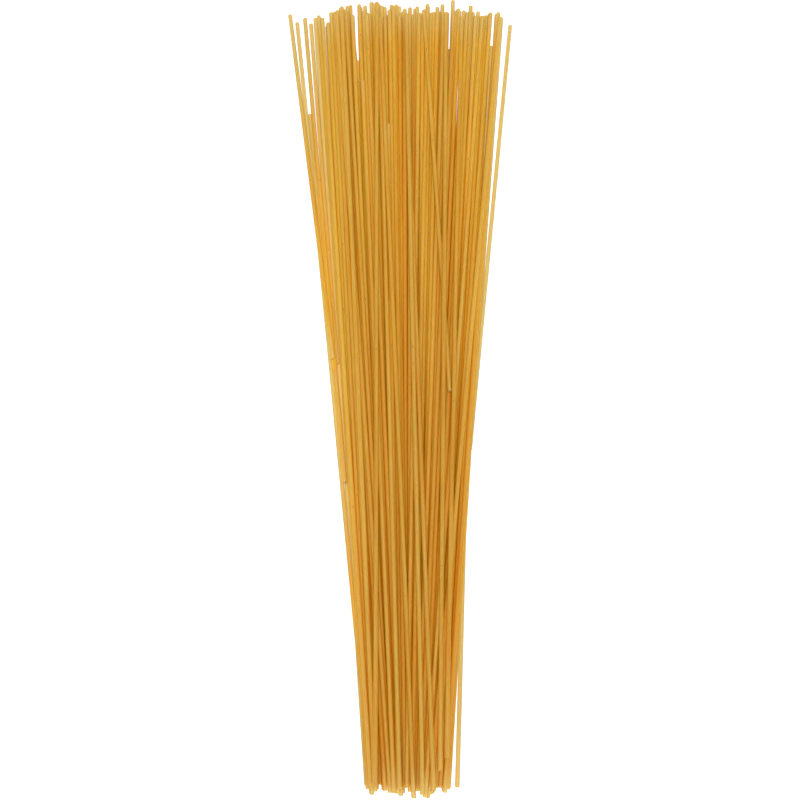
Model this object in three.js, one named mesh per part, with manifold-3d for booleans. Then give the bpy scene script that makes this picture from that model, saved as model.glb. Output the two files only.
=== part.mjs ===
// A loose bundle of straight dry pasta strands that lies on a table, gathered at its foot and fanned out at
// its tip. Millimetres, +Z up. The strands run along +Y from the foot to the tip, and the origin is on the
// table under the middle of the bundle.
import * as THREE from 'three';
import { mergeVertices } from 'three/addons/utils/BufferGeometryUtils.js';
import Module from 'manifold-3d';

// One strand, as a prism with this many sides. It is pressed this far into what it touches.
const STRAND = { length: 260, diameter: 1.4, sides: 6, press: 0.02 };
const LENGTH_SPREAD = 4;

// The bundle: places across it are measured in two planes, one strand length apart, at the foot and at the
// tip.
const FOOT = { middle: 1.7, half: 12.0 };
const TIP = { middle: 2.9, half: 31.6 };
// The bulk lies in layers, each narrower at the foot than the one below it. There its strands lie one pitch
// apart.
const LAYERS = 8;
const PITCH = 1.45;
// The most that a strand of the bulk is off its even place
const FOOT_WANDER = 0.15;
const TIP_WANDER = 1.6;
// How far a strand rolls sideways as it is laid, at the foot and at the tip: it takes the lowest place of
// these, and one that is off its own place only if it lies lower there by more than the gain.
const ROLLS = {
  bulk: { foot: [0, -0.35, 0.35, -0.7, 0.7, -1.05, 1.05], tip: [0, -0.7, 0.7, -1.4, 1.4, -2.1, 2.1] },
  top: { foot: [0, -0.5, 0.5, -1, 1], tip: [0, -0.7, 0.7, -1.4, 1.4] },
  stray: { foot: [0], tip: [0] },
};
const ROLL_GAIN = 0.05;
// The most that a strand is slid in from the foot plane, and how far strands reach out over it for each
// millimetre that they lie higher at the foot
const FOOT_UNEVEN = 4;
const OVERHANG = 0.3;

// Strays that lie under the bulk, beside it or along a cleft in it, from the first laid to the last: where
// each one crosses the two planes, how far it is slid in, and what is broken off at its foot or its tip.
const STRAYS = [
  { foot: 16.4, tip: 26.9, slide: 0.8 },
  { foot: 10.2, tip: 38.4, slide: -1.2, footCut: 105 },
  { foot: 12.5, tip: 35.1, slide: -0.4 },
  { foot: -10.0, tip: -29.9, slide: 1.4 },
  { foot: -8.6, tip: -36.4, slide: -1.4 },
  { foot: -8.6, tip: -34.9, slide: 0.0, footCut: 130, tipCut: 36 },
  { foot: -9.2, tip: -31.6, slide: 2.0, footCut: 130, tipCut: 4 },
  { foot: -8.5, tip: -33.5, slide: 2.2, footCut: 90 },
  { foot: -4.3, tip: -38.6, slide: 3.4, footCut: 130 },
  { foot: 12.5, tip: -17.6, slide: 2.0, footCut: 150 },
  { foot: 10.0, tip: -19.1, slide: 3.0, footCut: 150 },
  { foot: 7.5, tip: -20.6, slide: 2.4, footCut: 150 },
  { foot: 5.0, tip: -22.1, slide: 1.6, footCut: 150 },
  { foot: 0.0, tip: 18.4, slide: 2.4, footCut: 150 },
  { foot: -5.0, tip: -15.6, slide: 0.0, tipCut: 17 },
  { foot: 7.2, tip: 16.9, slide: 0.0, tipCut: 14 },
  { foot: 12.2, tip: 32.0, slide: 0.0, tipCut: 9 },
  { foot: -8.7, tip: -25.9, slide: 0.0, tipCut: 3 },
];

// Strands that show on top, from the first laid to the last. Some are broken short at the foot or the tip.
const TOP_STRANDS = [
  { foot: -7.4, tip: -19.0 },
  { foot: 0.6, tip: 4.9 },
  { foot: 5.5, tip: 19.6 },
  { foot: -2.0, tip: -4.3, tipCut: 45 },
  { foot: 0.6, tip: -8.5 },
  { foot: -1.0, tip: -13.6, tipCut: 28 },
  { foot: 3.4, tip: -8.8 },
  { foot: 10.2, tip: 2.4 },
  { foot: 7.3, tip: 3.2 },
  { foot: 21.5, tip: 9.3, footCut: 120 },
  { foot: 11.4, tip: 17.0, footCut: 6 },
  { foot: 12.7, tip: 20.4, footCut: 11 },
  { foot: -6.3, tip: -6.8 },
];

// Clefts between the tips: strands that would end within half of the middle lie beside it, except strays.
const CLEFTS = [
  { middle: -15.6, half: 1.2 },
  { middle: 17.0, half: 0.9 },
  { middle: 32.2, half: 1.1 },
];

// Places along the bundle where a strand can rest on another, from this far before the foot plane to as far
// behind the tip plane
const STATIONS = 56;
const BEYOND = 8;

// The solid core inside the heap, smaller than the heap all round
const CORE = {
  base: 1.4,
  arcSteps: 8,
  foot: { setBack: 14, half: 9.0, high: 8.0 },
  tip: { setBack: 30, half: 25.0, high: 2.2 },
};

const PASTA = new THREE.MeshStandardMaterial({ color: '#d9a441', roughness: 0.55, metalness: 0 });

// Steps between the terms of the even sequences, fractions that don't fall in step
const EVEN_STEPS = {
  layer: 0.430160,
  foot: 0.754878,
  tip: 0.569840,
  slide: 0.618034,
  length: 0.445042,
};

// Corners of a mesh that lie nearer than this are one corner.
const WELD = 1e-3;

const wasm = await Module();
wasm.setup();

const radius = STRAND.diameter / 2;
const halfLength = STRAND.length / 2;
const stationStep = (STRAND.length + 2 * BEYOND) / (STATIONS - 1);
// How far along from the foot plane the stations lie
const stations = Array.from({ length: STATIONS }, (_, k) => k * stationStep - BEYOND);

// Term number of a sequence that fills 0 to 1 evenly
function evenly(number, step) {
  return (0.5 + (number + 1) * step) % 1;
}

function clearOfClefts(tip) {
  for (const { middle, half } of CLEFTS) {
    if (Math.abs(tip - middle) < half) {
      return tip < middle ? middle - half : middle + half;
    }
  }
  return tip;
}

// A place after its roll. No roll leads out of the bulk.
function rolled(place, roll, plane) {
  const off = Math.abs(place + roll - plane.middle);
  return off > plane.half && off > Math.abs(place - plane.middle) ? place : place + roll;
}

// The bulk, layer on layer: each one is narrower at the foot than the one below it, and as wide as that at
// the tip.
function bulkStrands() {
  const strands = [];
  for (let layer = 0; layer < LAYERS; layer += 1) {
    const half = FOOT.half * Math.sqrt(1 - (layer / LAYERS) ** 2);
    const count = Math.floor((2 * half) / PITCH);
    for (let place = 0; place < count; place += 1) {
      const number = strands.length;
      const across = (2 * (place + evenly(layer, EVEN_STEPS.layer))) / count - 1;
      const footWander = FOOT_WANDER * (2 * evenly(number, EVEN_STEPS.foot) - 1);
      const tipWander = TIP_WANDER * (2 * evenly(number, EVEN_STEPS.tip) - 1);
      strands.push({
        foot: FOOT.middle + (half - FOOT_WANDER) * across + footWander,
        tip: TIP.middle + (TIP.half - TIP_WANDER) * across + tipWander,
      });
    }
  }
  return strands;
}

// A strand that isn't laid yet: its places, and the part of the way from the foot plane that it takes up
function makeStrand({ foot, tip, slide, footCut = 0, tipCut = 0 }, number, rolls) {
  const uneven = FOOT_UNEVEN * Math.sqrt(evenly(number, EVEN_STEPS.slide));
  const start = (slide ?? uneven) + footCut;
  const whole = STRAND.length + LENGTH_SPREAD * (evenly(number, EVEN_STEPS.length) - 0.5);
  const length = whole - footCut - tipCut;
  const there = stations.map((along) => along >= start && along <= start + length);
  return { foot, tip, rolls, start, length, there, stray: slide !== undefined };
}

// A line's value at a way along from the foot plane
function lineAt({ foot, tip }, along) {
  return foot + ((tip - foot) * along) / STRAND.length;
}

// How high a strand's axis must be at each station to clear the strands below it and the table
function groundUnder(place, below) {
  return stations.map((along, k) => {
    const x = lineAt(place, along);
    let ground = radius;
    for (const strand of below) {
      const offset = lineAt(strand.across, along) - x;
      if (strand.there[k] && Math.abs(offset) < STRAND.diameter) {
        const rise = Math.sqrt(STRAND.diameter ** 2 - offset ** 2);
        ground = Math.max(ground, lineAt(strand.height, along) + rise);
      }
    }
    return ground;
  });
}

// The line of a strand that rests on two points of the ground, one on either side of its middle. Of all lines
// over one point before the middle and one behind it, that is the highest at the middle.
function restLine(ground, there) {
  const middle = (stations[there.indexOf(true)] + stations[there.lastIndexOf(true)]) / 2;
  let rest = { level: -Infinity };
  for (let first = 0; first < STATIONS; first += 1) {
    for (let last = first + 1; last < STATIONS; last += 1) {
      if (there[first] && there[last] && stations[first] < middle && stations[last] >= middle) {
        const slope = (ground[last] - ground[first]) / (stations[last] - stations[first]);
        const level = ground[first] + slope * (middle - stations[first]);
        if (level > rest.level) {
          const foot = ground[first] - slope * stations[first];
          rest = { level, foot, tip: foot + slope * STRAND.length };
        }
      }
    }
  }
  return rest;
}

// Lays a strand at the lowest of the places that it can roll to.
function lay(strand, below) {
  let lowest = Infinity;
  for (const footRoll of strand.rolls.foot) {
    for (const tipRoll of strand.rolls.tip) {
      const tip = rolled(strand.tip, tipRoll, TIP);
      const across = {
        foot: rolled(strand.foot, footRoll, FOOT),
        tip: strand.stray ? tip : clearOfClefts(tip),
      };
      const height = restLine(groundUnder(across, below), strand.there);
      if (height.level < lowest - ROLL_GAIN) {
        lowest = height.level;
        strand.across = across;
        strand.height = height;
      }
    }
  }
}

// Where a laid strand starts, its direction and its length. Higher strands reach out over lower ones at the
// foot.
function strandEnds({ across, height, start, length, stray }) {
  const foot = new THREE.Vector3(across.foot, -halfLength, height.foot);
  const along = new THREE.Vector3(across.tip, halfLength, height.tip).sub(foot).normalize();
  const slide = stray ? start : start - OVERHANG * (height.foot - radius);
  return { start: foot.addScaledVector(along, slide), along, length };
}

// A closed three.js geometry as a solid that can be joined
function toSolid(geometry) {
  geometry.deleteAttribute('normal');
  geometry.deleteAttribute('uv');
  const welded = mergeVertices(geometry, WELD);
  const mesh = new wasm.Mesh({
    numProp: 3,
    vertProperties: new Float32Array(welded.attributes.position.array),
    triVerts: new Uint32Array(welded.index.array),
  });
  return new wasm.Manifold(mesh);
}

// A strand as a prism with one flat side down, pressed a little into the strands that it lies on
function strandSolid({ start, along, length }) {
  const slice = (2 * Math.PI) / STRAND.sides;
  const corner = (radius + STRAND.press) / Math.cos(slice / 2);
  const corners = Array.from({ length: STRAND.sides }, (_, k) => (
    new THREE.Vector2(corner * Math.cos(k * slice), corner * Math.sin(k * slice))
  ));
  const prism = new THREE.ExtrudeGeometry(new THREE.Shape(corners), { depth: length, bevelEnabled: false });
  prism.applyQuaternion(new THREE.Quaternion().setFromUnitVectors(new THREE.Vector3(0, 0, 1), along));
  prism.translate(start.x, start.y, start.z);
  return toSolid(prism);
}

// The core: a half oval at the foot and another at the tip, joined by straight sides
function coreSolid() {
  const halfDisc = new THREE.Shape().absarc(0, 0, 1, 0, Math.PI);
  const options = { depth: 1, curveSegments: CORE.arcSteps, bevelEnabled: false };
  const core = new THREE.ExtrudeGeometry(halfDisc, options);
  // The half disc stands up, and the depth runs from 0 at the tip to -1 at the foot.
  core.rotateX(Math.PI / 2);
  const ends = {
    foot: { ...CORE.foot, middle: FOOT.middle, y: CORE.foot.setBack - halfLength },
    tip: { ...CORE.tip, middle: TIP.middle, y: halfLength - CORE.tip.setBack },
  };
  const place = core.attributes.position;
  for (let k = 0; k < place.count; k += 1) {
    const end = place.getY(k) < -0.5 ? ends.foot : ends.tip;
    place.setXYZ(k, end.middle + end.half * place.getX(k), end.y, CORE.base + end.high * place.getZ(k));
  }
  return toSolid(core);
}

// The outer skin of the largest body: sealed hollows inside it are filled, and loose scraps are left out.
function outerBody(solid) {
  const bodies = solid.decompose();
  return bodies.reduce((largest, body) => (body.volume() > largest.volume() ? body : largest));
}

function toGeometry(solid) {
  const mesh = solid.getMesh();
  const geometry = new THREE.BufferGeometry();
  geometry.setAttribute('position', new THREE.BufferAttribute(new Float32Array(mesh.vertProperties), 3));
  geometry.setIndex(new THREE.BufferAttribute(new Uint32Array(mesh.triVerts), 1));
  geometry.computeVertexNormals();
  return geometry;
}

const strands = [
  ...STRAYS.map((stray) => [stray, ROLLS.stray]),
  ...bulkStrands().map((strand) => [strand, ROLLS.bulk]),
  ...TOP_STRANDS.map((strand) => [strand, ROLLS.top]),
].map(([strand, rolls], number) => makeStrand(strand, number, rolls));
strands.forEach((strand, number) => lay(strand, strands.slice(0, number)));

const strandSolids = strands.map((strand) => strandSolid(strandEnds(strand)));
const heap = wasm.Manifold.union([coreSolid(), ...strandSolids]);
// The table doesn't give: what is pressed into it is cut off, so that the heap rests on one flat plane.
const fused = toGeometry(heap.trimByPlane([0, 0, 1], 0));

// The bottom middle of the bundle's box goes to the origin.
fused.computeBoundingBox();
const middle = fused.boundingBox.getCenter(new THREE.Vector3());
fused.translate(-middle.x, -middle.y, -fused.boundingBox.min.z);

const noodleBundle = new THREE.Mesh(toGeometry(outerBody(toSolid(fused))), PASTA);
noodleBundle.name = 'noodle_bundle';

const bundle = new THREE.Group();
bundle.add(noodleBundle);

export default bundle;
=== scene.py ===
"""A loose bundle of dry spaghetti that lies on a table.

Every strand is a round rod, laid by the same rule as the strands of the solid part. Sizes are in
millimetres up to the meshes, which are in metres as the frame is.
"""
import math

import bpy
import numpy as np
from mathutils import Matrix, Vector


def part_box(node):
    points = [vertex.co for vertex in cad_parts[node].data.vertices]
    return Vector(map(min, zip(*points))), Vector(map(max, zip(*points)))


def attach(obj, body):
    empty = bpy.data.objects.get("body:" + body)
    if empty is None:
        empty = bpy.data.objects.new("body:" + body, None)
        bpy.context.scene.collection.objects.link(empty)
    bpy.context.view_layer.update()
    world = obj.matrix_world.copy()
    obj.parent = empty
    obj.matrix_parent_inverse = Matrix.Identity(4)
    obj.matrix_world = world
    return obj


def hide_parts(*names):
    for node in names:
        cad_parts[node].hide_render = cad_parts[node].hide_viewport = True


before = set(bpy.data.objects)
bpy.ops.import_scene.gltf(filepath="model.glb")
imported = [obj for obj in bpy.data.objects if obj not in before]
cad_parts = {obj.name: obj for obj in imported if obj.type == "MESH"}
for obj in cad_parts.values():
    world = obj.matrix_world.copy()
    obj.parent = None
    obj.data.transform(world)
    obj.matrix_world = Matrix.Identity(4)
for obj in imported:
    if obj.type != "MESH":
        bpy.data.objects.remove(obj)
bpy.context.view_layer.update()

MM = 0.001
NODE = "noodle_bundle"

# One strand
LENGTH = 260.0
DIAMETER = 1.4
RADIUS = DIAMETER / 2
HALF_LENGTH = LENGTH / 2
LENGTH_SPREAD = 4.0

# The bundle: places across it are measured in two planes, one strand length apart, at the foot and at the
# tip.
FOOT = {"middle": 1.7, "half": 12.0}
TIP = {"middle": 2.9, "half": 31.6}
# The bulk lies in layers, each narrower at the foot than the one below it. There its strands lie one pitch
# apart.
LAYERS = 8
PITCH = 1.45
# The most that a strand of the bulk is off its even place
FOOT_WANDER = 0.15
TIP_WANDER = 1.6
# How far a strand rolls sideways as it is laid, at the foot and at the tip: it takes the lowest place of
# these, and one that is off its own place only if it lies lower there by more than the gain.
BULK_ROLLS = {"foot": (0, -0.35, 0.35, -0.7, 0.7, -1.05, 1.05), "tip": (0, -0.7, 0.7, -1.4, 1.4, -2.1, 2.1)}
TOP_ROLLS = {"foot": (0, -0.5, 0.5, -1, 1), "tip": (0, -0.7, 0.7, -1.4, 1.4)}
STRAY_ROLLS = {"foot": (0,), "tip": (0,)}
ROLL_GAIN = 0.05
# The most that a strand is slid in from the foot plane, and how far strands reach out over it for each
# millimetre that they lie higher at the foot
FOOT_UNEVEN = 4.0
OVERHANG = 0.3

# Strays that lie under the bulk, beside it or along a cleft in it, from the first laid to the last: where
# each one crosses the two planes, how far it is slid in, and what is broken off at its foot or its tip.
STRAYS = (
    {"foot": 16.4, "tip": 26.9, "slide": 0.8},
    {"foot": 10.2, "tip": 38.4, "slide": -1.2, "foot_cut": 105},
    {"foot": 12.5, "tip": 35.1, "slide": -0.4},
    {"foot": -10.0, "tip": -29.9, "slide": 1.4},
    {"foot": -8.6, "tip": -36.4, "slide": -1.4},
    {"foot": -8.6, "tip": -34.9, "slide": 0.0, "foot_cut": 130, "tip_cut": 36},
    {"foot": -9.2, "tip": -31.6, "slide": 2.0, "foot_cut": 130, "tip_cut": 4},
    {"foot": -8.5, "tip": -33.5, "slide": 2.2, "foot_cut": 90},
    {"foot": -4.3, "tip": -38.6, "slide": 3.4, "foot_cut": 130},
    {"foot": 12.5, "tip": -17.6, "slide": 2.0, "foot_cut": 150},
    {"foot": 10.0, "tip": -19.1, "slide": 3.0, "foot_cut": 150},
    {"foot": 7.5, "tip": -20.6, "slide": 2.4, "foot_cut": 150},
    {"foot": 5.0, "tip": -22.1, "slide": 1.6, "foot_cut": 150},
    {"foot": 0.0, "tip": 18.4, "slide": 2.4, "foot_cut": 150},
    {"foot": -5.0, "tip": -15.6, "slide": 0.0, "tip_cut": 17},
    {"foot": 7.2, "tip": 16.9, "slide": 0.0, "tip_cut": 14},
    {"foot": 12.2, "tip": 32.0, "slide": 0.0, "tip_cut": 9},
    {"foot": -8.7, "tip": -25.9, "slide": 0.0, "tip_cut": 3},
)

# Strands that show on top, from the first laid to the last. Some are broken short at the foot or the tip.
TOP_STRANDS = (
    {"foot": -7.4, "tip": -19.0},
    {"foot": 0.6, "tip": 4.9},
    {"foot": 5.5, "tip": 19.6},
    {"foot": -2.0, "tip": -4.3, "tip_cut": 45},
    {"foot": 0.6, "tip": -8.5},
    {"foot": -1.0, "tip": -13.6, "tip_cut": 28},
    {"foot": 3.4, "tip": -8.8},
    {"foot": 10.2, "tip": 2.4},
    {"foot": 7.3, "tip": 3.2},
    {"foot": 21.5, "tip": 9.3, "foot_cut": 120},
    {"foot": 11.4, "tip": 17.0, "foot_cut": 6},
    {"foot": 12.7, "tip": 20.4, "foot_cut": 11},
    {"foot": -6.3, "tip": -6.8},
)

# Clefts between the tips: strands that would end within half of the middle lie beside it, except strays.
CLEFTS = (
    {"middle": -15.6, "half": 1.2},
    {"middle": 17.0, "half": 0.9},
    {"middle": 32.2, "half": 1.1},
)

# Steps between the terms of the even sequences, fractions that don't fall in step
STEP_LAYER = 0.430160
STEP_FOOT = 0.754878
STEP_TIP = 0.569840
STEP_SLIDE = 0.618034
STEP_LENGTH = 0.445042

# Places along the bundle where the strands' heights and bends are worked out, from this far before the foot
# plane to as far behind the tip plane
STATIONS = 56
BEYOND = 8.0

# How the rods bend: they are born with a slight bow and a slighter double bow, and where they still overlap
# they give way to each other, also this far beyond their ends.
SEED = 11
BOW = 0.15
DOUBLE_BOW = BOW / 3
BEND_ROUNDS = 60
BEND_EASE = 0.3
BEND_STRAIGHTEN = 0.02
BEND_REACH = 5.0
# The share of each neighbouring station as a bend is smoothed
BEND_BLEND = 0.25
# The smallest distance between two rods' axes that is divided by
TIGHT = 0.2

# The rods' meshes. A rod is thinner than the diameter above by up to the spread, a share of it, and it
# swells in a slow wave.
SIDES = 16
ANGLES = np.linspace(0, 2 * np.pi, SIDES, endpoint=False)
RINGS = 26
THICKNESS_SPREAD = 0.03
SWELL = 0.3 * THICKNESS_SPREAD
# The wave's turn for each millimetre, and at the most where it starts, in radians
SWELL_TURN = 0.09
SWELL_START = 6.0
# The cuts: how far in the rings of their worn edge lie, and the first of the even rings
END_BEVEL = 0.10
EDGE_RINGS = np.array([0.0, END_BEVEL, 3 * END_BEVEL])
EVEN_RINGS_FROM = 10 * END_BEVEL
# The thickness that is left at a cut, the most that it is slanted, as a share of the radius, and how far it
# is chipped
END_ROUND = 0.84
END_SLANT = 0.16
END_CHIP = 0.05
# Each rod has its own stretch of the space that its grain is drawn in.
GRAIN_APART = 10.0
# The rods' materials, by number
SIDE_MATERIAL = 0
CUT_MATERIAL = 1

# The sky and floor that each rod sees, from which its painted light and shade are worked out, are reckoned
# at each station, in this many directions round a point.
LIGHT_WAYS = 32
# The heap's height about a rod is taken this far to either side.
HEAP_NEAR = 3.0

# Colours are linear.
DEEP_AMBER = (0.59, 0.30, 0.035, 1.0)
GOLD = (0.64, 0.365, 0.060, 1.0)
PALE_GOLD = (0.66, 0.405, 0.082, 1.0)
# Painted shade: the deeper, more orange colour that the gaps between rods take on, in a thin and in a thick
# heap
PAINTED_GAP_SHADE_GOLD = (0.69, 0.38, 0.030, 1.0)
PAINTED_GAP_SHADE_ORANGE = (0.60, 0.225, 0.005, 1.0)
# Painted shade on the rods' flanks: a tint that deepens their colour where they turn down
PAINTED_FLANK_SHADE_TINT = (1.54, 1.30, 0.48, 1.0)
# Painted shade: the colour is slightly darker and less red where the heap is thin, and darker where it is
# thick
THIN_SHADE = (0.95, 0.98, 1.00, 1.0)
HEAP_SHADE = (0.82, 0.825, 0.87, 1.0)
# Painted light: the pale colour of rods that see the bright floor, as if lit through from below
BACKLIT = (0.61, 0.475, 0.160, 1.0)
# Painted light: the paler colour of the rods towards their cuts
PAINTED_END_LIGHT = (0.72, 0.485, 0.160, 1.0)
SPECK_BROWN = (0.20, 0.075, 0.015, 1.0)
CUT_PALE = (0.84, 0.60, 0.22, 1.0)
WHITE = (1.0, 1.0, 1.0, 1.0)
FLOOR_GREY = (0.1, 0.1, 0.1, 1.0)

# Patterns in the pasta, most of them drawn out along the rods
STREAKS = {"stretch": (1.0, 0.03, 1.0), "scale": 1.4, "detail": 3.0}
DRIFT = {"stretch": (0.05, 0.02, 0.05), "scale": 1.0, "detail": 2.0}
DULL_PATCHES = {"stretch": (1.0, 0.2, 1.0), "scale": 3.0, "detail": 3.0}
GROOVES = {"stretch": (1.0, 0.06, 1.0), "scale": 5.0, "detail": 4.0}
CRUMB = {"stretch": (1.0, 1.0, 1.0), "scale": 6.0, "detail": 4.0}
# The stretch of a noise's values where most of them lie
NOISE_RANGE = (0.3, 0.7)
CRUMB_RANGE = (0.35, 0.65)

# A rod's tone goes from 0, deep amber, over 0.5, gold, to 1, pale gold. It drifts within a range along the
# rod, and is off that by the spread at most for each rod and for each streak.
TONE_DRIFT = (0.2, 0.8)
TONE_SPREAD = 0.25

# How the painted light and shade in the colour follow the light that a rod would get: ranges of the open
# floor and sky that it sees, as shares of all, and of the heap's height about it
INSIDE_FLOOR = (0.3, 0.65)
BACKLIT_FLOOR = (0.5, 1.0)
PAINTED_GAP_SHADE_SKY = (0.2, 0.9)
THICK_HEAP = (6.0, 13.0)
THIN_HEAP = (2.0, 6.0)
# The most that a rod takes on of the pale colour of painted backlight
BACKLIT_SHARE = 0.9
# How much more sky the gaps in a thick heap are taken to see than they do
THICK_SKY = 0.1
# Heights over a rod's axis: the painted shade on its flanks starts at the first and is full at the second.
# In a thin heap it has this share of its tint.
PAINTED_FLANK_SHADE_HEIGHTS = (0.95 * RADIUS, 0.2 * RADIUS)
PAINTED_FLANK_SHADE_THIN = 0.5
# How far from a cut a rod is painted paler, as light that shows through its thin end, by which share at the
# cut, and what is left of that in a thick heap
END_REACH = 14.0
END_SHARE = 0.6
THICK_END = 0.2

# Specks lie in the middle of some cells of a pattern: the range of their edge, how strong they are, and the
# share of the cells without one
SPECK_STRETCH = (1.0, 0.6, 1.0)
SPECK_SCALE = 0.7
SPECK_EDGE = (0.07, 0.14)
SPECK_SHARE = 0.8
SPECKLESS = 0.93

# The surface
SIDE_ROUGHNESS = (0.42, 0.62)
CUT_ROUGHNESS = 0.8
GROOVE_BUMP = {"Strength": 0.5, "Distance": 0.03 * MM}
CRUMB_BUMP = {"Strength": 0.6, "Distance": 0.06 * MM}
# Light goes a little way into dry pasta, red the furthest.
FLESH = {
    "Subsurface Weight": 0.6,
    "Subsurface Radius": (1.0, 0.6, 0.2),
    "Subsurface Scale": 3.0 * MM,
    "IOR": 1.45,
    "Specular IOR Level": 0.12,
}
WHITE_FLOOR = {
    "Base Color": FLOOR_GREY,
    "Roughness": 0.9,
    "Specular IOR Level": 0.0,
    "Emission Color": WHITE,
    "Emission Strength": 1.15,
}

# The room, in metres and watts
FLOOR_HALF = 3.0
ROOM_LIGHT = 0.2
LAMP_SIZE = 0.2
LAMP_POWER = 26.0
LAMP_PLACE = (0.0, -0.25, 1.58)

# The camera looks down on the bundle from the side of the foot, this steeply and from this far off the place
# along Y that it aims at. The image is square.
IMAGE_PIXELS = 800
FOCAL_PIXELS = 1411
SENSOR = 36.0
CAMERA_STEEP = math.radians(72.0)
CAMERA_FAR = 450.0
CAMERA_AIM = -11.2
CAMERA_NEAR_END = 10.0

# The Mix node has several sockets of each name. These are the ones for colours.
MIX_FIRST = 6
MIX_SECOND = 7
MIX_RESULT = 2


def evenly(number, step):
    """Term number of a sequence that fills 0 to 1 evenly."""
    return (0.5 + (number + 1) * step) % 1


def clear_of_clefts(tip):
    for cleft in CLEFTS:
        if abs(tip - cleft["middle"]) < cleft["half"]:
            return cleft["middle"] + math.copysign(cleft["half"], tip - cleft["middle"])
    return tip


def rolled(plane, place, roll):
    """A place after its roll. No roll leads out of the bulk."""
    off = abs(place + roll - plane["middle"])
    return place if off > plane["half"] and off > abs(place - plane["middle"]) else place + roll


def bulk_strands():
    """Layer on layer: each is narrower at the foot than the one below it, and as wide as that at the tip."""
    strands = []
    for layer in range(LAYERS):
        half = FOOT["half"] * math.sqrt(1 - (layer / LAYERS) ** 2)
        count = math.floor(2 * half / PITCH)
        for place in range(count):
            number = len(strands)
            across = 2 * (place + evenly(layer, STEP_LAYER)) / count - 1
            foot_wander = FOOT_WANDER * (2 * evenly(number, STEP_FOOT) - 1)
            tip_wander = TIP_WANDER * (2 * evenly(number, STEP_TIP) - 1)
            strands.append({
                "foot": FOOT["middle"] + (half - FOOT_WANDER) * across + foot_wander,
                "tip": TIP["middle"] + (TIP["half"] - TIP_WANDER) * across + tip_wander,
            })
    return strands


def rest_line(across, below, there, share):
    """A strand's height in its middle and at the stations, once it has come to rest on two of the strands
    below it, or on the table, on either side of its middle."""
    offset = below["across"] - across
    touches = below["there"] & (np.abs(offset) < DIAMETER)
    rise = np.sqrt(np.maximum(DIAMETER ** 2 - offset ** 2, 0))
    ground = np.where(touches, below["height"] + rise, RADIUS).max(axis=0, initial=RADIUS)
    stations = np.flatnonzero(there)
    middle = 0.5 * (share[stations[0]] + share[stations[-1]])
    before = stations[share[stations] < middle]
    after = stations[share[stations] >= middle]
    # Of all lines over one point before the middle and one behind it, the highest there lies on both.
    part = (middle - share[before])[:, None] / (share[after][None] - share[before][:, None])
    level = (1 - part) * ground[before][:, None] + part * ground[after][None]
    best = level.argmax()
    first = before[best // len(after)]
    last = after[best % len(after)]
    slope = (ground[last] - ground[first]) / (share[last] - share[first])
    return level.max(), ground[first] + slope * (share - share[first])


def lay_strand(strand, below, there, share):
    """A strand's x and height at the stations, at the lowest of the places that it can roll to."""
    lowest = math.inf
    for foot_roll in strand["rolls"]["foot"]:
        for tip_roll in strand["rolls"]["tip"]:
            foot = rolled(FOOT, strand["foot"], foot_roll)
            tip = rolled(TIP, strand["tip"], tip_roll)
            # Only strays have a slide of their own.
            if "slide" not in strand:
                tip = clear_of_clefts(tip)
            across = foot + (tip - foot) * share
            level, height = rest_line(across, below, there, share)
            if level < lowest - ROLL_GAIN:
                lowest = level
                laid = across, height
    return laid


def lay_strands():
    """Each strand's x and z at every station along Y, the stations, and where along Y it starts and ends."""
    strands = [{**strand, "rolls": STRAY_ROLLS} for strand in STRAYS]
    strands += [{**strand, "rolls": BULK_ROLLS} for strand in bulk_strands()]
    strands += [{**strand, "rolls": TOP_ROLLS} for strand in TOP_STRANDS]
    number = np.arange(len(strands))
    foot_cut = np.array([strand.get("foot_cut", 0) for strand in strands])
    tip_cut = np.array([strand.get("tip_cut", 0) for strand in strands])
    slide = FOOT_UNEVEN * np.sqrt(evenly(number, STEP_SLIDE))
    slide[:len(STRAYS)] = [stray["slide"] for stray in STRAYS]
    slide += foot_cut
    length = LENGTH + LENGTH_SPREAD * (evenly(number, STEP_LENGTH) - 0.5) - foot_cut - tip_cut

    stations = np.linspace(-HALF_LENGTH - BEYOND, HALF_LENGTH + BEYOND, STATIONS)
    share = (stations + HALF_LENGTH) / LENGTH
    there = (share * LENGTH >= slide[:, None]) & (share * LENGTH <= (slide + length)[:, None])
    across = np.zeros((len(strands), STATIONS))
    height = np.zeros((len(strands), STATIONS))
    for k, strand in enumerate(strands):
        below = {"across": across[:k], "height": height[:k], "there": there[:k]}
        across[k], height[k] = lay_strand(strand, below, there[k], share)

    # The higher strands reach out over the lower ones at the foot.
    rise = (height[:, -1] - height[:, 0]) / (share[-1] - share[0])
    sweep = (across[:, -1] - across[:, 0]) / (share[-1] - share[0])
    foot_high = height[:, 0] - rise * share[0]
    slide[len(STRAYS):] -= OVERHANG * (foot_high - RADIUS)[len(STRAYS):]
    lean = LENGTH / np.sqrt(LENGTH ** 2 + sweep ** 2 + rise ** 2)
    first = slide * lean - HALF_LENGTH
    last = (slide + length) * lean - HALF_LENGTH
    return np.stack([across, height], axis=2), stations, first, last


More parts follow.
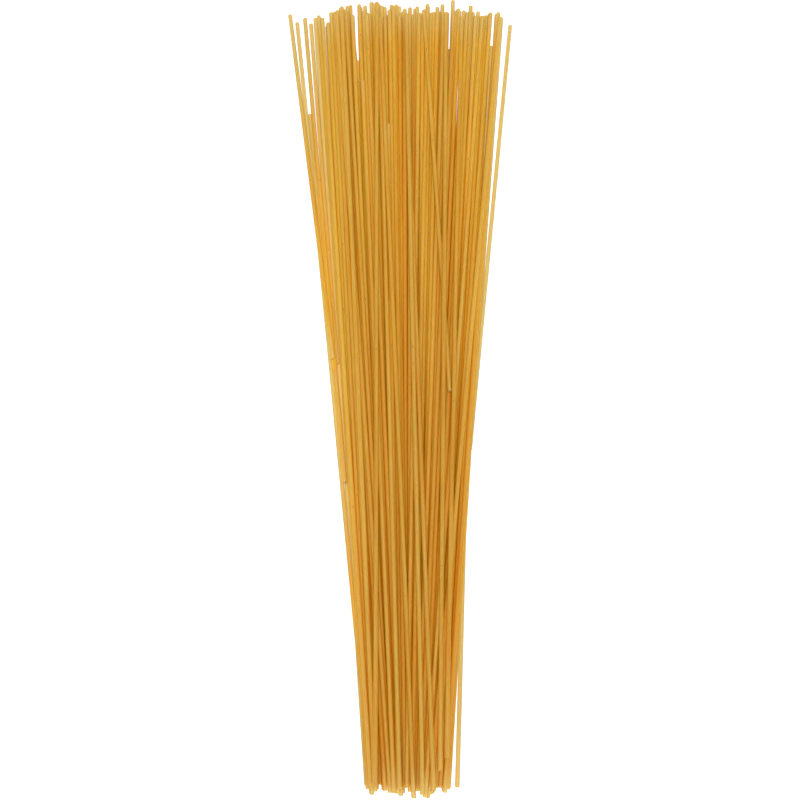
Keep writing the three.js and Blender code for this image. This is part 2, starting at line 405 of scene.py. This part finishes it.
def bend_apart(line, stations, first, last, draw):
    """Gives each rod its bow, then lets rods that overlap give way, as slightly as stiff rods do."""
    count = len(line)
    share = (stations - stations[0]) / (stations[-1] - stations[0])
    bow = draw.normal(0, BOW, (count, 1, 2)) * np.sin(np.pi * share)[None, :, None]
    bow += draw.normal(0, DOUBLE_BOW, (count, 1, 2)) * np.sin(2 * np.pi * share)[None, :, None]
    shift = bow.copy()
    there = (stations >= first[:, None] - BEND_REACH) & (stations <= last[:, None] + BEND_REACH)
    both = there[None] & there[:, None]
    both[np.arange(count), np.arange(count)] = False
    for _ in range(BEND_ROUNDS):
        here = line + shift
        gap = here[None] - here[:, None]
        far = np.maximum(np.sqrt((gap * gap).sum(axis=3)), TIGHT)
        push = np.where(both, np.maximum(DIAMETER - far, 0), 0) * BEND_EASE / far
        shift += (push[..., None] * gap).sum(axis=0)
        shift += BEND_STRAIGHTEN * (bow - shift)
        padded = np.concatenate([shift[:, :1], shift, shift[:, -1:]], axis=1)
        shift = BEND_BLEND * padded[:, :-2] + (1 - 2 * BEND_BLEND) * shift + BEND_BLEND * padded[:, 2:]
        shift[..., 1] = np.maximum(shift[..., 1], RADIUS - line[..., 1])
    return line + shift


def hits(to_rod, ways):
    """Which of the ways from a point go through a rod whose axis lies so far from the point."""
    ahead = np.einsum("...o,wo->...w", to_rod, ways) > 0
    # Turned by a right angle, a way measures how far off it the axis is.
    off = np.abs(np.einsum("...o,wo->...w", to_rod, ways[:, ::-1] * (1, -1)))
    return ahead & (off < RADIUS)


def soaked_light(line, stations, first, last):
    """How much sky each side of each rod sees at each station, how much of the bright floor beside the
    bundle each rod sees, and how high the heap is about it. The material paints light and shade into the
    rods' colour from these."""
    count = len(line)
    outward = np.stack([np.cos(ANGLES), np.sin(ANGLES)], axis=1)
    turn = (np.arange(LIGHT_WAYS) + 0.5) * 2 * np.pi / LIGHT_WAYS
    ways = np.stack([np.cos(turn), np.sin(turn)], axis=1)
    upward = ways[ways[:, 1] > 0]
    downward = ways[ways[:, 1] < 0]
    facing = np.maximum(outward @ upward.T, 0)
    brightest = facing.sum(axis=1).max()
    steep = -downward[:, 1]
    sky = np.zeros((count, len(stations), SIDES))
    floor = np.zeros((count, len(stations)))
    heap = np.zeros((count, len(stations)))
    own = np.eye(count, dtype=bool)
    for at, along in enumerate(stations):
        there = (first <= along) & (along <= last)
        others = there & ~own
        middle = line[:, at]
        # From the rods' own sides up to the sky
        point = middle[:, None] + RADIUS * outward
        hit = hits(middle - point[:, :, None], upward) & others[:, None, :, None]
        sky[:, at] = (facing * ~hit.any(axis=2)).sum(axis=2) / brightest
        # From the rods' axes down to the floor
        to_rod = middle - middle[:, None]
        hit = hits(to_rod, downward) & others[..., None]
        floor[:, at] = (steep * ~hit.any(axis=1)).sum(axis=1) / steep.sum()
        # The heap's height about each rod
        close = np.abs(to_rod[..., 0]) < HEAP_NEAR
        heap[:, at] = np.where(close & there, middle[:, 1] + RADIUS, 0.0).max(axis=1)
    return sky, floor, heap


def rod_rings(first, last):
    """Where along Y a rod's rings lie: close together by its cuts, for their worn edge, and even between."""
    even = np.linspace(first + EVEN_RINGS_FROM, last - EVEN_RINGS_FROM, RINGS)
    return np.concatenate([first + EDGE_RINGS, even, last - EDGE_RINGS[::-1]])


def rod_corners(along, line, stations, draw):
    """A rod's corners, ring by ring, and then the middles of its two cuts."""
    across, height = (np.interp(along, stations, line[:, axis]) for axis in (0, 1))
    centre = np.stack([across, along, height], axis=1)
    tangent = np.gradient(centre, along, axis=0)
    tangent /= np.linalg.norm(tangent, axis=1, keepdims=True)
    side = np.cross(tangent, (0.0, 0.0, 1.0))
    side /= np.linalg.norm(side, axis=1, keepdims=True)
    up = np.cross(side, tangent)
    outward = np.cos(ANGLES)[:, None] * side[:, None] + np.sin(ANGLES)[:, None] * up[:, None]
    radius = np.full(len(along), RADIUS * (1 - THICKNESS_SPREAD * draw.uniform(0, 1)))
    radius *= 1 + SWELL * np.sin(along * SWELL_TURN + draw.uniform(0, SWELL_START))
    radius[[0, -1]] *= END_ROUND
    radius[[1, -2]] *= (1 + END_ROUND) / 2
    corners = centre[:, None] + radius[:, None, None] * outward
    # The cuts are slanted and chipped.
    for rings in ([0, 1, 2], [-1, -2, -3]):
        slant = draw.uniform(0, END_SLANT)
        corners[rings, :, 1] += slant * RADIUS * np.cos(ANGLES - draw.uniform(0, 2 * np.pi))
        corners[rings[0], :, 1] += draw.normal(0, END_CHIP, SIDES)
    middles = corners[[0, -1]].mean(axis=1)
    middles[:, 1] += draw.normal(0, END_CHIP, 2)
    return np.vstack([corners.reshape(-1, 3), middles])


def rod_faces(rings):
    """The quads between so many rings of corners, and the triangles of the two cuts."""
    corner = np.arange(SIDES)
    after = (corner + 1) % SIDES
    low = SIDES * np.arange(rings - 1)[:, None]
    high = low + SIDES
    quads = np.stack([low + corner, high + corner, high + after, low + after], axis=2).reshape(-1, 4)
    last = SIDES * (rings - 1)
    middle = np.full(SIDES, SIDES * rings)
    cuts = np.vstack([
        np.stack([middle, corner, after], axis=1),
        np.stack([middle + 1, last + after, last + corner], axis=1),
    ])
    return quads, cuts


def rod_grain(number, along):
    """The place of each corner on a straight rod, which the patterns in the pasta follow."""
    grain = np.zeros((len(along), SIDES, 3))
    grain[..., 0] = RADIUS * np.cos(ANGLES)
    grain[..., 1] = along[:, None]
    grain[..., 2] = RADIUS * np.sin(ANGLES)
    middles = [(0.0, along[0], 0.0), (0.0, along[-1], 0.0)]
    return np.vstack([grain.reshape(-1, 3), middles]) + (GRAIN_APART * number, 0.0, 0.0)


def rod_values(along, stations, sky, floor, heap):
    """What the material asks for at each corner: how far the nearer cut is, and the sky, floor and heap that
    its painted light and shade follow.
    """
    sky = np.stack([np.interp(along, stations, sky[:, side]) for side in range(SIDES)], axis=1)
    values = {"open_sky": np.concatenate([sky.ravel(), sky[[0, -1]].max(axis=1)])}
    rings = {
        "from_end": np.minimum(along - along[0], along[-1] - along),
        "open_floor": np.interp(along, stations, floor),
        "heap": np.interp(along, stations, heap),
    }
    for name, ring in rings.items():
        values[name] = np.concatenate([np.repeat(ring, SIDES), ring[[0, -1]]])
    return values


def join_rods():
    """The corners, the faces and their materials, and the values at the corners, of all rods together."""
    draw = np.random.default_rng(SEED)
    line, stations, first, last = lay_strands()
    line = bend_apart(line, stations, first, last, draw)
    sky, floor, heap = soaked_light(line, stations, first, last)
    points = []
    faces = []
    numbers = []
    rods = []
    count = 0
    for number in range(len(line)):
        along = rod_rings(first[number], last[number])
        corners = rod_corners(along, line[number], stations, draw)
        quads, cuts = rod_faces(len(along))
        points.append(corners)
        faces += (quads + count).tolist() + (cuts + count).tolist()
        numbers += [SIDE_MATERIAL] * len(quads) + [CUT_MATERIAL] * len(cuts)
        rod = rod_values(along, stations, sky[number], floor[number], heap[number])
        rod["grain"] = rod_grain(number, along)
        rod["tone"] = np.full(len(corners), draw.uniform(0, 1))
        rods.append(rod)
        count += len(corners)
    values = {name: np.concatenate([rod[name] for rod in rods]) for name in rods[0]}
    return np.vstack(points), faces, numbers, values


def add_attribute(mesh, name, values):
    kind, key = ("FLOAT_VECTOR", "vector") if values.ndim == 2 else ("FLOAT", "value")
    attribute = mesh.attributes.new(name, kind, "POINT")
    attribute.data.foreach_set(key, np.ascontiguousarray(values, np.float32).ravel())


def make_strands(materials):
    """All rods as one joined mesh, centred on the solid that they stand for."""
    points, faces, numbers, values = join_rods()
    low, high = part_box(NODE)
    middle = 0.5 * (points.min(axis=0) + points.max(axis=0))
    points[:, 0] += 0.5 * (low.x + high.x) / MM - middle[0]
    points[:, 1] += 0.5 * (low.y + high.y) / MM - middle[1]
    mesh = bpy.data.meshes.new("spaghetti_strands")
    mesh.from_pydata((points * MM).tolist(), [], faces)
    for material in materials:
        mesh.materials.append(material)
    mesh.polygons.foreach_set("material_index", numbers)
    mesh.polygons.foreach_set("use_smooth", [number == SIDE_MATERIAL for number in numbers])
    for name, value in values.items():
        add_attribute(mesh, name, value)
    mesh.update()
    strands = bpy.data.objects.new("spaghetti_strands", mesh)
    bpy.context.scene.collection.objects.link(strands)
    return strands


class Nodes:
    """A short way to write a material's nodes."""

    def __init__(self, name):
        self.material = bpy.data.materials.new(name)
        self.material.use_nodes = True
        self.tree = self.material.node_tree
        self.shader = self.tree.nodes["Principled BSDF"]

    def add(self, kind, settings=None, **inputs):
        node = self.tree.nodes.new(kind)
        for key, value in (settings or {}).items():
            setattr(node, key, value)
        for key, value in inputs.items():
            self.put(node.inputs[key.replace("_", " ")], value)
        return node

    def put(self, socket, value):
        if isinstance(value, bpy.types.NodeSocket):
            self.tree.links.new(value, socket)
        else:
            socket.default_value = value

    def shade(self, name, value):
        self.put(self.shader.inputs[name], value)

    def attribute(self, name, output):
        return self.add("ShaderNodeAttribute", {"attribute_name": name}).outputs[output]

    def math(self, operation, first, second):
        node = self.add("ShaderNodeMath", {"operation": operation})
        self.put(node.inputs[0], first)
        self.put(node.inputs[1], second)
        return node.outputs[0]

    def mix(self, share, first, second, blend="MIX"):
        node = self.add("ShaderNodeMix", {"data_type": "RGBA", "blend_type": blend})
        self.put(node.inputs[0], share)
        self.put(node.inputs[MIX_FIRST], first)
        self.put(node.inputs[MIX_SECOND], second)
        return node.outputs[MIX_RESULT]

    def multiply(self, first, second):
        return self.mix(1.0, first, second, "MULTIPLY")

    def stretched(self, vector, stretch):
        node = self.add("ShaderNodeVectorMath", {"operation": "MULTIPLY"})
        self.put(node.inputs[0], vector)
        self.put(node.inputs[1], stretch)
        return node.outputs[0]

    def noise(self, vector, stretch, scale, detail):
        place = self.stretched(vector, stretch)
        return self.add("ShaderNodeTexNoise", Vector=place, Scale=scale, Detail=detail).outputs[0]

    def remap(self, value, low, high, to_low=0.0, to_high=1.0):
        ends = {"From_Min": low, "From_Max": high, "To_Min": to_low, "To_Max": to_high}
        return self.add("ShaderNodeMapRange", Value=value, **ends).outputs[0]

    def bump(self, height, settings):
        self.shade("Normal", self.add("ShaderNodeBump", Height=height, **settings).outputs[0])


def own_colour(nodes, grain):
    """The rods' own colour, from amber to pale gold: it differs by rod, in streaks and slowly along it."""
    tone = nodes.remap(nodes.attribute("tone", "Fac"), 0.0, 1.0, -TONE_SPREAD, TONE_SPREAD)
    streak = nodes.remap(nodes.noise(grain, **STREAKS), *NOISE_RANGE, -TONE_SPREAD, TONE_SPREAD)
    drift = nodes.remap(nodes.noise(grain, **DRIFT), *NOISE_RANGE, *TONE_DRIFT)
    tone = nodes.math("ADD", nodes.math("ADD", tone, streak), drift)
    colour = nodes.mix(nodes.remap(tone, 0.0, 0.5), DEEP_AMBER, GOLD)
    return nodes.mix(nodes.remap(tone, 0.5, 1.0), colour, PALE_GOLD)


def paint_light_and_shade(nodes, grain, colour):
    """Painted light and shade in the colour: painted shade, deeper and more orange, in the gaps and on the
    rods' flanks, painted light, paler, by the open floor and towards the cuts, and painted shade, darker,
    where the heap is thick."""
    open_sky = nodes.attribute("open_sky", "Fac")
    open_floor = nodes.attribute("open_floor", "Fac")
    heap = nodes.attribute("heap", "Fac")
    inside = nodes.remap(open_floor, *INSIDE_FLOOR, 1.0, 0.0)
    thick = nodes.remap(heap, *THICK_HEAP)

    # Painted shade in the gaps: deeper and more orange where a rod sees little sky
    seen_sky = nodes.math("ADD", open_sky, nodes.math("MULTIPLY", thick, THICK_SKY))
    painted_gap_shade = nodes.math("MULTIPLY", inside, nodes.remap(seen_sky, *PAINTED_GAP_SHADE_SKY, 1.0, 0.0))
    colour = nodes.mix(painted_gap_shade, colour, nodes.mix(thick, PAINTED_GAP_SHADE_GOLD, PAINTED_GAP_SHADE_ORANGE))

    # Painted shade on the flanks, tinted deeper and more orange
    over_axis = nodes.add("ShaderNodeSeparateXYZ", Vector=grain).outputs["Z"]
    painted_flank_shade = nodes.math("MULTIPLY", inside, nodes.remap(over_axis, *PAINTED_FLANK_SHADE_HEIGHTS))
    painted_flank_shade = nodes.math("MULTIPLY", painted_flank_shade, nodes.remap(heap, *THIN_HEAP, PAINTED_FLANK_SHADE_THIN, 1.0))
    colour = nodes.mix(painted_flank_shade, colour, nodes.multiply(colour, PAINTED_FLANK_SHADE_TINT))

    # Painted light where a rod sees the bright floor
    backlit = nodes.remap(open_floor, *BACKLIT_FLOOR, 0.0, BACKLIT_SHARE)
    colour = nodes.mix(backlit, colour, BACKLIT)

    # Painted light towards the cuts
    painted_end_light = nodes.remap(nodes.attribute("from_end", "Fac"), 0.0, END_REACH, END_SHARE, 0.0)
    painted_end_light = nodes.math("MULTIPLY", painted_end_light, nodes.remap(thick, 0.0, 1.0, 1.0, THICK_END))
    colour = nodes.mix(painted_end_light, colour, PAINTED_END_LIGHT)
    # Painted shade by the heap's height
    return nodes.multiply(colour, nodes.mix(thick, THIN_SHADE, HEAP_SHADE))


def specked(nodes, grain, colour):
    """The colour with a few brown specks."""
    place = nodes.stretched(grain, SPECK_STRETCH)
    cells = nodes.add("ShaderNodeTexVoronoi", Vector=place, Scale=SPECK_SCALE)
    speck = nodes.remap(cells.outputs["Distance"], *SPECK_EDGE, SPECK_SHARE, 0.0)
    cell = nodes.add("ShaderNodeSeparateColor", Color=cells.outputs["Color"]).outputs["Red"]
    speck = nodes.math("MULTIPLY", speck, nodes.math("GREATER_THAN", cell, SPECKLESS))
    return nodes.mix(speck, colour, SPECK_BROWN)


def pasta_material():
    """The rods' sides: amber with painted light and shade, satin and finely grooved."""
    nodes = Nodes("dry_pasta")
    grain = nodes.attribute("grain", "Vector")
    colour = paint_light_and_shade(nodes, grain, own_colour(nodes, grain))
    nodes.shade("Base Color", specked(nodes, grain, colour))
    nodes.shade("Roughness", nodes.remap(nodes.noise(grain, **DULL_PATCHES), *NOISE_RANGE, *SIDE_ROUGHNESS))
    nodes.bump(nodes.noise(grain, **GROOVES), GROOVE_BUMP)
    for name, value in FLESH.items():
        nodes.shade(name, value)
    return nodes.material


def cut_material():
    """The broken ends: pale, dry and floury."""
    nodes = Nodes("pasta_cut")
    crumb = nodes.noise(nodes.attribute("grain", "Vector"), **CRUMB)
    nodes.shade("Base Color", nodes.mix(nodes.remap(crumb, *CRUMB_RANGE), GOLD, CUT_PALE))
    nodes.shade("Roughness", CUT_ROUGHNESS)
    nodes.bump(crumb, CRUMB_BUMP)
    for name, value in FLESH.items():
        nodes.shade(name, value)
    return nodes.material


def make_floor():
    mesh = bpy.data.meshes.new("floor")
    corners = [(FLOOR_HALF * x, FLOOR_HALF * y, 0.0) for x, y in ((-1, -1), (1, -1), (1, 1), (-1, 1))]
    mesh.from_pydata(corners, [], [(0, 1, 2, 3)])
    floor = bpy.data.objects.new("floor", mesh)
    bpy.context.scene.collection.objects.link(floor)
    nodes = Nodes("white_floor")
    for name, value in WHITE_FLOOR.items():
        nodes.shade(name, value)
    mesh.materials.append(nodes.material)


def make_light():
    world = bpy.data.worlds.new("studio")
    world.use_nodes = True
    background = world.node_tree.nodes["Background"]
    background.inputs["Color"].default_value = WHITE
    background.inputs["Strength"].default_value = ROOM_LIGHT
    bpy.context.scene.world = world
    lamp = bpy.data.lights.new("softbox", "AREA")
    lamp.shape = "DISK"
    lamp.size = LAMP_SIZE
    lamp.energy = LAMP_POWER
    softbox = bpy.data.objects.new("softbox", lamp)
    softbox.location = LAMP_PLACE
    softbox.rotation_euler = (-softbox.location).to_track_quat("-Z", "Y").to_euler()
    bpy.context.scene.collection.objects.link(softbox)


def make_camera():
    camera = bpy.data.objects.new("camera", bpy.data.cameras.new("camera"))
    camera.data.sensor_width = SENSOR
    camera.data.lens = SENSOR * FOCAL_PIXELS / IMAGE_PIXELS
    camera.data.clip_start = CAMERA_NEAR_END * MM
    back = Vector((0.0, -math.cos(CAMERA_STEEP), math.sin(CAMERA_STEEP)))
    camera.location = Vector((0.0, CAMERA_AIM * MM, 0.0)) + back * CAMERA_FAR * MM
    camera.rotation_euler = back.to_track_quat("Z", "Y").to_euler()
    bpy.context.scene.collection.objects.link(camera)
    bpy.context.scene.camera = camera


strands = make_strands([pasta_material(), cut_material()])
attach(strands, "root")
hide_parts(NODE)
make_floor()
make_light()
make_camera()
bpy.context.scene.view_settings.view_transform = "Standard"
